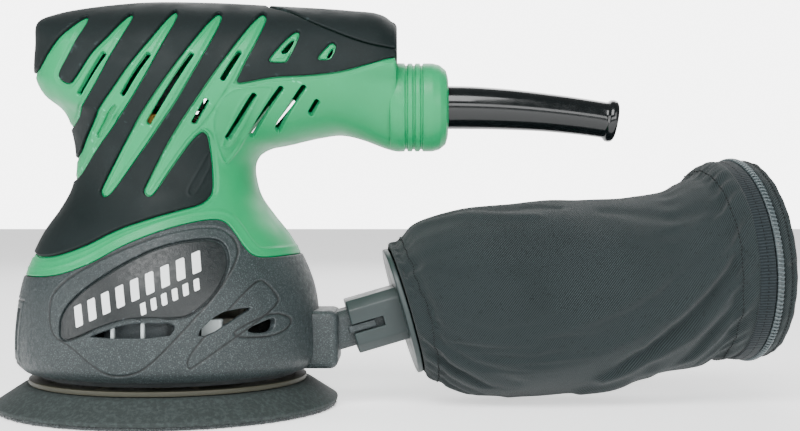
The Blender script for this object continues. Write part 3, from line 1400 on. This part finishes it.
def skin_rings(rings, closed=True):
    """A skin over rings of equally many points; closed joins the last ring to the first."""
    count = len(rings[0])
    points = np.vstack(rings)
    faces = []
    total = len(rings)
    for r in range(total if closed else total - 1):
        a, b = r * count, (r + 1) % total * count
        for i in range(count):
            k = (i + 1) % count
            faces.append([a + i, b + i, b + k, a + k])
    if not closed:
        faces.append(list(range(count)))
        faces.append([(total - 1) * count + i for i in reversed(range(count))])
    return points, faces


def make_controls():
    parts = [soft_box((-49.2, -5.6, 124.4), (-43.6, 5.6, 133.6), 1.0, 4)]
    for z in (126.2, 127.9, 129.6, 131.3):
        parts.append(soft_box((-49.4, -4.6, z - 0.35), (-48.2, 4.6, z + 0.35), 0.25, 2))
    parts.append(soft_box((-45.0, -3.5, 126.0), (-42.4, 3.5, 132.0), 0.4))
    slider = make_object("power_button", merged(parts), "dark")
    stand(slider, "power_switch", "dark_plastic", "power_slider")
    angle = math.tau * np.arange(DIAL_TEETH * 4) / (DIAL_TEETH * 4)
    rim = 7.2 - 0.45 * (0.5 + 0.5 * np.cos(angle * DIAL_TEETH)) ** 2

    def ring(y, radius):
        x, z = DIAL_CENTRE
        side = np.full(len(angle), y)
        return np.stack([x + radius * np.cos(angle), side, z + radius * np.sin(angle)], 1)

    edge = ((-3.0, 0.7), (-2.7, 0.25), (-2.3, 0.0), (2.3, 0.0), (2.7, 0.25), (3.0, 0.7))
    rings = [ring(y, rim - drop) for y, drop in edge] + [ring(3.0, 2.2), ring(-3.0, 2.2)]
    dial = make_object("thumb_wheel", skin_rings(rings), "dark")
    stand(dial, "speed_wheel", "dark_plastic", "speed_dial")


def make_screw_heads():
    """Housing screws with a cross recess in each head."""
    profile = rounded_profile(
        [
            (0.02, -13), (1.45, -13), (1.45, 14.3), (2.9, 14.3), (2.9, 16.2), (2.3, 17.1),
            (0.02, 17.1),
        ],
        0.3, 3,
    )
    for index, (x, z) in enumerate(SCREW_PLACES):
        name = f"housing_screw_{index + 1}"
        points, faces = turned(profile, 40)
        points = np.stack([points[:, 1], points[:, 0], -points[:, 2]], 1)
        body = make_object(name + "_detailed", (points, [f[::-1] for f in faces]), "screw", 34)
        bm = bmesh.new()
        for turn in (0, math.pi / 2):
            place = Matrix.Translation((0, 16.9, 0)) @ Matrix.Rotation(turn + 0.4 * index, 4, "Y")
            place = place @ Matrix.Diagonal((3.2, 2.2, 0.75, 1))
            bmesh.ops.create_cube(bm, size=1.0, matrix=place)
        tool = make_object(name + "_recess", from_bmesh(bm), "screw")
        union = tool.modifiers.new("weld", "REMESH")
        union.mode = "SHARP"
        union.octree_depth = 6
        apply_boolean(body, tool)
        body.location = (x * MM, 0, z * MM)
        stand(body, "housing", "bright_steel", name)


def chamfered(half_u, half_v, chamfer):
    u, v, c = half_u, half_v, chamfer
    return [
        (u, v - c), (u - c, v), (-u + c, v), (-u, v - c),
        (-u, -v + c), (-u + c, -v), (u - c, -v), (u, -v + c),
    ]


def make_adapter():
    def oval(half_u, half_v, steps=72):
        turns = [math.tau * k / steps for k in range(steps)]
        return [(half_u * math.cos(a), half_v * math.sin(a)) for a in turns]

    def mouth():
        return make_object("sleeve_mouth", prism(rounded_outline(7.0, 4.7, 2), 20, 40, 0.2), "dark")

    adapter = make_object("bag_collar", prism(chamfered(12.4, 9.85, 3.4), 7.6, 27.2, 0.5), "dark")
    hollow = make_object("sleeve_hollow", prism(rounded_outline(9.6, 7.3, 3.1), 0, 24, 0.2), "dark")
    plate = make_object("plate", prism(oval(22.0, 24.0), 26.6, 28.6, 0.5, 3), "dark")
    slots = []
    for sign in (-1, 1):
        outline = [(u + sign * 11, v - 0.4) for u, v in rounded_outline(4, 1.8, 0.3)]
        slots.append(prism(outline, -2, 19.5, 0.2))
    cut = make_object("sleeve_slots", merged(slots), "dark")
    apply_boolean(adapter, hollow)
    apply_boolean(plate, mouth())
    apply_boolean(adapter, mouth())
    apply_boolean(adapter, cut)
    apply_boolean(adapter, plate, "UNION")
    adapter.data.transform(OUTLET)
    stand(adapter, "dust_bag", "dark_plastic", "bag_adapter")


# ---- dust bag ---------------------------------------------------------------------------
def bag_grid(rows, around):
    """Rings of the bag at even spacing, and the length along it."""
    places = np.linspace(0, len(BAG_STATIONS) - 1.0001, 900)
    steps = np.diff(catmull(BAG_STATIONS, places)[:, [0, 2, 3]], axis=0)
    run = np.concatenate([[0], np.cumsum(np.linalg.norm(steps, axis=1))])
    stations = catmull(BAG_STATIONS, np.interp(np.linspace(0, run[-1], rows), run, places))
    angle = 2 * np.pi * np.arange(around) / around
    grid = np.empty((rows, around, 3))
    for k, (x, y, z, high, wide, pitch, yaw) in enumerate(stations):
        turn = np.array(Euler((0, -math.radians(pitch), math.radians(yaw))).to_matrix())
        local = np.stack([np.zeros(around), wide * np.cos(angle), high * np.sin(angle)], 1)
        grid[k] = local @ turn.T + (x, y, z)
    return grid, run[-1]


def wave_field(shape, seed, cells_along, cells_round):
    """Smooth seeded noise that wraps round the bag."""
    rng = np.random.default_rng(seed)
    rows, around = shape
    coarse = rng.normal(0, 1, (cells_along + 3, cells_round))
    u = np.linspace(0, cells_along, rows)
    v = np.arange(around) / around * cells_round
    ui, vi = u.astype(int), v.astype(int)
    ut, vt = u - ui, v - vi
    ut, vt = ut * ut * (3 - 2 * ut), vt * vt * (3 - 2 * vt)
    total = np.zeros(shape)
    for di in (0, 1):
        for dj in (0, 1):
            wu = (ut if di else 1 - ut)[:, None]
            wv = (vt if dj else 1 - vt)[None, :]
            corner = np.ix_(np.minimum(ui + di, cells_along + 2), (vi + dj) % cells_round)
            total += coarse[corner] * wu * wv
    return total


def crease(grid_shape, along, around, start, end, width):
    """A soft ridge between two places on the bag; places are (share along, degrees round)."""
    best = np.full(grid_shape, 1e9)
    (a0, t0), (a1, t1) = start, end
    for k in range(25):
        f = k / 24
        a, t = a0 + (a1 - a0) * f, t0 + (t1 - t0) * f
        dt = (around - t + 180) % 360 - 180
        gap = np.hypot((along - a) * 125, dt * 0.62)
        fade = 1 + 0.6 * abs(2 * f - 1) ** 3
        best = np.minimum(best, gap * fade)
    return np.exp(-((best / width) ** 2))


def shaped_bag():
    """The sewn form with pleats, sag and creases before the cloth settles."""
    grid, length = bag_grid(BAG_ROWS, BAG_ROUND)
    normal = grid_normals(grid)
    along = np.linspace(0, 1, BAG_ROWS)[:, None]
    around = (np.arange(BAG_ROUND) / BAG_ROUND * 360)[None, :]
    shape = (BAG_ROWS, BAG_ROUND)
    radians = np.radians(around)
    pleats = np.zeros(shape)
    for count, size, shift in ((17, 0.55, 0.4), (29, 0.35, 1.7), (11, 0.5, 2.2)):
        pleats += size * np.sin(count * radians + shift + 5 * along)
    gather = np.exp(-along / 0.1) * np.clip(along / 0.02, 0, 1)
    tail = np.exp(-(1 - along) / 0.06) * np.clip((1 - along) / 0.015, 0, 1)
    move = pleats * gather * 0.9 + pleats * tail * 0.5
    keep = np.clip(along / 0.06, 0, 1) * np.clip((1 - along) / 0.05, 0, 1)
    move += keep * wave_field(shape, 3, 5, 7) * 0.9
    move += keep * wave_field(shape, 5, 12, 17) * 0.3
    # Round the bag, 90 is the top, 180 the left side and 270 the bottom.
    folds = [
        ((0.04, 96), (0.5, 112), 3.2, -1.3), ((0.06, 104), (0.42, 123), 3.0, 1.1),
        ((0.1, 150), (0.34, 176), 4.0, -0.9), ((0.05, 200), (0.3, 232), 4.5, -1.2),
        ((0.55, 236), (0.97, 196), 4.2, 1.9), ((0.6, 226), (0.96, 178), 3.6, -1.7),
        ((0.5, 252), (0.96, 222), 4.4, 1.7), ((0.66, 214), (0.97, 160), 3.2, 1.3),
        ((0.62, 120), (0.95, 142), 4.0, -0.9), ((0.3, 264), (0.7, 250), 5.0, 1.0),
        ((0.7, 180), (0.95, 128), 3.0, 0.8), ((0.15, 300), (0.6, 330), 5.0, -1.1),
        ((0.5, 20), (0.95, 60), 4.5, 1.2), ((0.55, 340), (0.94, 10), 4.0, -1.1),
        ((0.1, 30), (0.45, 60), 4.5, 1.0),
    ]
    for start, end, width, height in folds:
        move += keep * height * crease(shape, along, around, start, end, width)
    grid = grid + normal * move[..., None]
    grid[..., 2] -= (keep * np.sin(np.pi * along) * 0.5)
    return grid, length


def cloth_object(grid, length):
    rows, around = grid.shape[:2]
    faces = []
    for r in range(rows - 1):
        for i in range(around):
            k = (i + 1) % around
            a, b = r * around, (r + 1) * around
            faces.append([a + i, b + i, b + k, a + k])
    points = grid.reshape(-1, 3)
    centre = grid.mean((0, 1))
    a, b, c = (points[v] for v in faces[0][:3])
    if np.dot(np.cross(b - a, c - a), a - centre) < 0:
        faces = [f[::-1] for f in faces]
    bag = make_object("bag_cloth", (points, faces), "cloth", 180)
    layer = bag.data.uv_layers.new(name="UVMap")
    girth = 0.225
    for loop in bag.data.loops:
        r, i = divmod(loop.vertex_index, around)
        layer.data[loop.index].uv = (i / around * girth, r / (rows - 1) * length * MM)
    for polygon in bag.data.polygons:
        columns = [bag.data.loops[k].vertex_index % around for k in polygon.loop_indices]
        if max(columns) - min(columns) > 1:
            for k, column in zip(polygon.loop_indices, columns):
                if column == 0:
                    layer.data[k].uv.x = girth
    return bag


def settle(bag):
    """Lets the cloth buckle and fill under a little pressure, with both ends sewn fast."""
    rows, around = BAG_ROWS, BAG_ROUND
    start = np.array([v.co for v in bag.data.vertices])
    group = bag.vertex_groups.new(name="sewn")
    fixed = list(range(around * 2)) + list(range((rows - 2) * around, rows * around))
    group.add(fixed, 1.0, "REPLACE")
    modifier = bag.modifiers.new("cloth", "CLOTH")
    for key, value in CLOTH.items():
        setattr(modifier.settings, key, value)
    modifier.settings.effector_weights.gravity = 0.25
    modifier.collision_settings.use_collision = False
    modifier.collision_settings.use_self_collision = False
    modifier.point_cache.frame_start = 1
    modifier.point_cache.frame_end = BAG_FRAMES
    for step in range(1, BAG_FRAMES + 1):
        bpy.context.scene.frame_set(step)
    graph = bpy.context.evaluated_depsgraph_get()
    moved = np.array([v.co for v in bag.evaluated_get(graph).data.vertices])
    bag.modifiers.clear()
    bpy.context.scene.frame_set(1)
    shift = moved - start
    size = np.linalg.norm(shift, axis=1, keepdims=True)
    cap = BAG_CAP * MM
    shift *= np.minimum(1, cap / np.maximum(size, 1e-9))
    for vert, co in zip(bag.data.vertices, start + shift):
        vert.co = co


def grid_of(bag):
    return np.array([v.co for v in bag.data.vertices]).reshape(BAG_ROWS, BAG_ROUND, 3) / MM


def seam_ridges(bag):
    """Raised seams, folded hems and their puckers, pressed into the settled cloth."""
    grid = grid_of(bag)
    normal = grid_normals(grid)
    row = np.arange(BAG_ROWS)[:, None]
    column = np.arange(BAG_ROUND)[None, :]
    pucker = 0.5 + 0.5 * np.sin(column * math.tau / BAG_ROUND * 46)
    hem = np.exp(-(((row - 7) / 1.6) ** 2)) * (-0.45 - 0.25 * pucker)
    hem += np.exp(-(((row - (BAG_ROWS - 9)) / 1.7) ** 2)) * (-0.5 - 0.3 * pucker)
    hem += np.exp(-(((row - (BAG_ROWS - 4)) / 2.0) ** 2)) * 0.45
    under = (column - SEAM_COLUMN + BAG_ROUND / 2) % BAG_ROUND - BAG_ROUND / 2
    wobble = 0.5 + 0.5 * np.sin(row * 0.9)
    along_seam = np.exp(-((under / 0.9) ** 2)) * (-0.5 - 0.2 * wobble)
    along_seam = along_seam + np.exp(-(((under - SEAM_STITCH) / 1.3) ** 2)) * 0.35
    moved = grid + normal * (hem + along_seam)[..., None]
    for vert, co in zip(bag.data.vertices, moved.reshape(-1, 3)):
        vert.co = co * MM
    return moved, grid_normals(moved)


def stitch_line(grid, normal, places):
    """Small thread capsules lying on the cloth at (row, column) places."""
    parts = []
    for (r0, c0), (r1, c1) in places:
        p = sample(grid, r0, c0) + sample(normal, r0, c0) * 0.12
        q = sample(grid, r1, c1) + sample(normal, r1, c1) * 0.12
        up = sample(normal, r0, c0)
        parts.append(capsule(p, q, up, 0.22))
    return parts


def sample(grid, row, column):
    rows, around = grid.shape[:2]
    r = min(max(row, 0), rows - 1.001)
    ri, rt = int(r), r - int(r)
    ci, ct = int(math.floor(column)), column - math.floor(column)
    a, b = grid[ri, ci % around], grid[ri, (ci + 1) % around]
    c, d = grid[ri + 1, ci % around], grid[ri + 1, (ci + 1) % around]
    return (a * (1 - ct) + b * ct) * (1 - rt) + (c * (1 - ct) + d * ct) * rt


def capsule(p, q, up, radius, sides=6):
    """A short thread between two points that dips into the cloth at both ends."""
    along = (q - p) / (np.linalg.norm(q - p) + 1e-9)
    side = np.cross(along, up)
    side /= np.linalg.norm(side) + 1e-9
    rings = []
    for share, size, drop in THREAD_FORM:
        centre = p + (q - p) * share + up * drop
        ring = [
            centre + (side * math.cos(a) + up * math.sin(a)) * radius * size
            for a in (math.tau * k / sides for k in range(sides))
        ]
        rings.append(np.array(ring))
    return skin_rings(rings, closed=False)


def ribbon_uv(obj):
    """Maps a turned piece of the bag's end, in metres round and across."""
    inverse = BAG_END.inverted()
    layer = obj.data.uv_layers.new(name="UVMap")
    places = [inverse @ v.co for v in obj.data.vertices]
    for polygon in obj.data.polygons:
        angles = []
        for k in polygon.loop_indices:
            p = places[obj.data.loops[k].vertex_index]
            angles.append(math.atan2(p.z, p.y))
        wrap = max(angles) - min(angles) > math.pi
        for k, angle in zip(polygon.loop_indices, angles):
            p = places[obj.data.loops[k].vertex_index]
            angle += math.tau if wrap and angle < 0 else 0
            across = p.x + math.hypot(p.y, p.z)
            layer.data[k].uv = (angle * ZIP_RADIUS * MM, across)


def make_bag():
    grid, length = shaped_bag()
    bag = cloth_object(grid, length)
    settle(bag)
    grid, normal = seam_ridges(bag)
    subdivision = bag.modifiers.new("smooth", "SUBSURF")
    subdivision.levels = subdivision.render_levels = 1
    bake(bag)
    solidify = bag.modifiers.new("thickness", "SOLIDIFY")
    solidify.thickness = 0.0005
    solidify.offset = -1
    bake(bag)
    stand(bag, "dust_bag", "bag_cloth", "bag_body")
    stitches = []
    step = BAG_ROUND / HEM_STITCHES
    for row in HEM_ROWS:
        for k in range(HEM_STITCHES):
            stitches.append(((row, k * step), (row, (k + STITCH_SHARE) * step)))
    beside = SEAM_COLUMN + SEAM_STITCH
    for row in range(8, 8 + int(BAG_ROWS * 0.86)):
        stitches.append(((row, beside), (row + STITCH_SHARE, beside)))
    parts = stitch_line(grid, normal, stitches)
    stand(make_object("bag_stitching", merged(parts), "thread", 180), "dust_bag", "bag_cloth")


def end_ring(radius, along, angle):
    return np.array([along, radius * math.cos(angle), radius * math.sin(angle)])


def make_zip():
    tape = rounded_profile([(33.8, -7.4), (37.7, -7.4), (38.5, -1.7), (34.0, -1.5)], 0.5, 2)
    band = make_object("zip_band", placed(turned(tape, 180), BAG_END), "tape", 50)
    ribbon_uv(band)
    stand(band, "dust_bag", "bag_cloth", "zip_tape")
    coil = []
    for k in range(ZIP_TEETH):
        angle = math.tau * k / ZIP_TEETH
        for sign in (-1, 1):
            p = end_ring(38.5, sign * 1.35, angle + sign * 0.004)
            q = end_ring(38.9, -sign * 0.25, angle + sign * 0.002 + 0.0022)
            up = np.array([0, math.cos(angle), math.sin(angle)])
            coil.append(capsule(p, q, up, 0.42, 6))
    core = rounded_profile([(36.8, -1.15), (38.5, -1.15), (38.5, 1.15), (36.8, 1.15)], 0.3, 2)
    coil.append(turned(core, ZIP_TEETH))
    teeth = make_object("zip_coil_teeth", placed(merged(coil), BAG_END), "teeth", 60)
    stand(teeth, "dust_bag", "zip_plastic", "zip_teeth")
    panel_obj = make_object("bag_end_cloth", placed(end_panel(), BAG_END), "cloth", 180)
    inverse = BAG_END.inverted()
    layer = panel_obj.data.uv_layers.new(name="UVMap")
    for loop in panel_obj.data.loops:
        p = inverse @ panel_obj.data.vertices[loop.vertex_index].co
        r = math.hypot(p.y, p.z)
        if r < 0.034:
            layer.data[loop.index].uv = (p.y, p.z)
        else:
            layer.data[loop.index].uv = (math.atan2(p.z, p.y) * ZIP_RADIUS * MM, p.x + r)
    stand(panel_obj, "dust_bag", "bag_cloth", "bag_end_panel")
    threads = []
    for radius, along, total in ((37.9, 4.6, 140), (38.05, -4.6, 150), (33.6, 8.35, 130)):
        for k in range(total):
            a = math.tau * k / total
            p = end_ring(radius, along, a)
            q = end_ring(radius, along, a + math.tau * 0.6 / total)
            up = np.array([0, math.cos(a), math.sin(a)])
            if along > 8:
                up = np.array([0.8, 0.6 * math.cos(a), 0.6 * math.sin(a)])
            threads.append(capsule(p, q, up, 0.2, 5))
    seams = make_object("zip_stitching", placed(merged(threads), BAG_END), "thread", 180)
    stand(seams, "dust_bag", "bag_cloth")


def end_panel():
    """Crowned cloth end with a piped rim, as a closed form."""
    rim = [
        (37.4, 1.5), (38.0, 1.9), (38.2, 2.8), (37.9, 3.8), (37.6, 4.6), (37.9, 5.4), (37.6, 6.4),
        (36.6, 7.2), (35.2, 7.6), (34.2, 7.9), (33.4, 8.1),
    ]
    angle = math.tau * np.arange(PANEL_SIDES) / PANEL_SIDES

    def ring(along, radius):
        along = np.broadcast_to(along, angle.shape)
        return np.stack([along, radius * np.cos(angle), radius * np.sin(angle)], 1)

    def fold(radius, turn, place, width):
        across = radius * np.cos(angle + turn) + place
        return np.exp(-((across / width) ** 2)) * (1 - (radius / 33) ** 4)

    rings = []
    for radius, along in rim:
        wave = 0.14 * np.sin(angle * 31) + 0.1 * np.sin(angle * 17 + 1)
        rings.append(ring(along, radius + wave * (1 if radius > 34 else 0.5) - 0.15))
    for radius in np.linspace(32.4, 0.6, 34):
        crown = 8.2 + 2.1 * (1 - (radius / 33.0) ** 2)
        radial = 0.28 * np.sin(angle * 13 + 0.6) * (radius / 33) ** 3
        folds = 0.5 * fold(radius, -0.7, -9, 3.2) - 0.45 * fold(radius, 0.9, 6, 4.0)
        rings.append(ring(np.minimum(crown + radial + folds, 10.9), radius))
    for along, radius in ((7.0, 0.6), (7.0, 20.0), (1.5, 36.4)):
        rings.append(ring(along, radius))
    points, faces = skin_rings(rings)
    return points, [f[::-1] for f in faces]


def make_zip_pull():
    place = BAG_END @ Matrix.Rotation(ZIP_SLIDER_ANGLE, 4, "X")
    parts = [
        soft_box((-3.6, -4.2, 40.2), (3.6, 4.2, 41.1), 0.4),
        soft_box((-3.3, -3.6, 41.0), (3.3, 2.4, 42.6), 0.7),
        soft_box((-0.7, -3.0, 42.4), (0.7, -2.2, 45.2), 0.3),
        soft_box((-0.7, 0.1, 42.4), (0.7, 0.9, 45.2), 0.3),
        soft_box((-0.7, -3.0, 44.5), (0.7, 0.9, 45.2), 0.3),
    ]
    slider = make_object("zip_slider_body", placed(merged(parts), place), "zip_metal", 34)
    stand(slider, "zip_runner", "zip_metal", "zip_slider")
    swing = place @ Matrix.Translation(Vector(TAB_PIVOT) * MM) @ Matrix.Rotation(TAB_ANGLE, 4, "X")
    outline = [(u, v + 10.4) for u, v in rounded_outline(2.6, 7.5, 1.3)]
    inner = [(u * 0.5, v * 0.62 + 10.4) for u, v in rounded_outline(2.4, 7.2, 1.0)]
    points, faces = prism(outline, -0.5, 0.5, 0.2, 3, inner)
    points = np.stack([points[:, 1], points[:, 2], points[:, 0]], 1)
    loop = soft_box((-1.9, 0.2, -0.45), (1.9, 3.6, 0.45), 0.25)
    part = placed(merged([(points, faces), loop]), swing)
    stand(make_object("zip_pull_tab", part, "zip_metal", 34), "zip_pull", "zip_metal", "zip_tab")


# ---- camera, floor and light ------------------------------------------------------------
def make_camera():
    camera = bpy.data.cameras.new("camera")
    camera.sensor_width = 36.0
    camera.lens = 36.0 * FOCAL_PIXELS / FRAME_WIDTH
    camera.clip_start = 0.01
    camera.clip_end = 50
    obj = bpy.data.objects.new("camera", camera)
    obj.location = CAMERA_PLACE
    obj.rotation_euler = (math.pi / 2, 0, 0)
    bpy.context.scene.collection.objects.link(obj)
    bpy.context.scene.camera = obj


def make_stage():
    size = FLOOR_SIZE
    mesh = bpy.data.meshes.new("floor")
    mesh.from_pydata(
        [(-size, -size, 0), (size, -size, 0), (size, size, 0), (-size, size, 0)], [], [(0, 1, 2, 3)]
    )
    floor = bpy.data.objects.new("floor", mesh)
    mesh.materials.append(floor_material())
    bpy.context.scene.collection.objects.link(floor)
    world = bpy.data.worlds.new("studio")
    world.use_nodes = True
    tree = world.node_tree
    background = tree.nodes["Background"]
    background.inputs["Color"].default_value = (1.0, 1.0, 1.0, 1)
    path = new_node(tree, "ShaderNodeLightPath")
    strength = new_node(tree, "ShaderNodeMapRange", {"To Max": WORLD_SEEN})
    # The light that reaches the object is brightest from straight behind it.
    direction = new_node(tree, "ShaderNodeTexCoord")
    split = new_node(tree, "ShaderNodeSeparateXYZ")
    low, high = WORLD_BACK_REACH
    values = {"From Min": low, "From Max": high, "To Min": WORLD_LIGHT, "To Max": WORLD_BACK}
    back = new_node(tree, "ShaderNodeMapRange", values)
    tree.links.new(direction.outputs["Generated"], split.inputs[0])
    tree.links.new(split.outputs["Y"], back.inputs["Value"])
    tree.links.new(back.outputs["Result"], strength.inputs["To Min"])
    tree.links.new(path.outputs["Is Camera Ray"], strength.inputs["Value"])
    tree.links.new(strength.outputs["Result"], background.inputs["Strength"])
    bpy.context.scene.world = world


def add_light(name, place, target, size, power):
    light = bpy.data.lights.new(name, "AREA")
    light.shape = "RECTANGLE"
    light.size, light.size_y = size
    light.energy = power
    obj = bpy.data.objects.new(name, light)
    obj.location = place
    direction = Vector(target) - Vector(place)
    obj.rotation_euler = direction.to_track_quat("-Z", "Y").to_euler()
    bpy.context.scene.collection.objects.link(obj)


def finish_carried():
    for material, names in CARRIED.items():
        for name in names:
            mesh = NODES[name].data
            mesh.materials.clear()
            mesh.materials.append(MATERIALS[material])


def main():
    make_camera()
    make_stage()
    for light in LIGHTS:
        add_light(*light)
    finish_carried()
    make_body()
    make_skirt()
    make_pad()
    make_guard()
    make_controls()
    make_screw_heads()
    make_adapter()
    make_bag()
    make_zip()
    make_zip_pull()
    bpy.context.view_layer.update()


main()
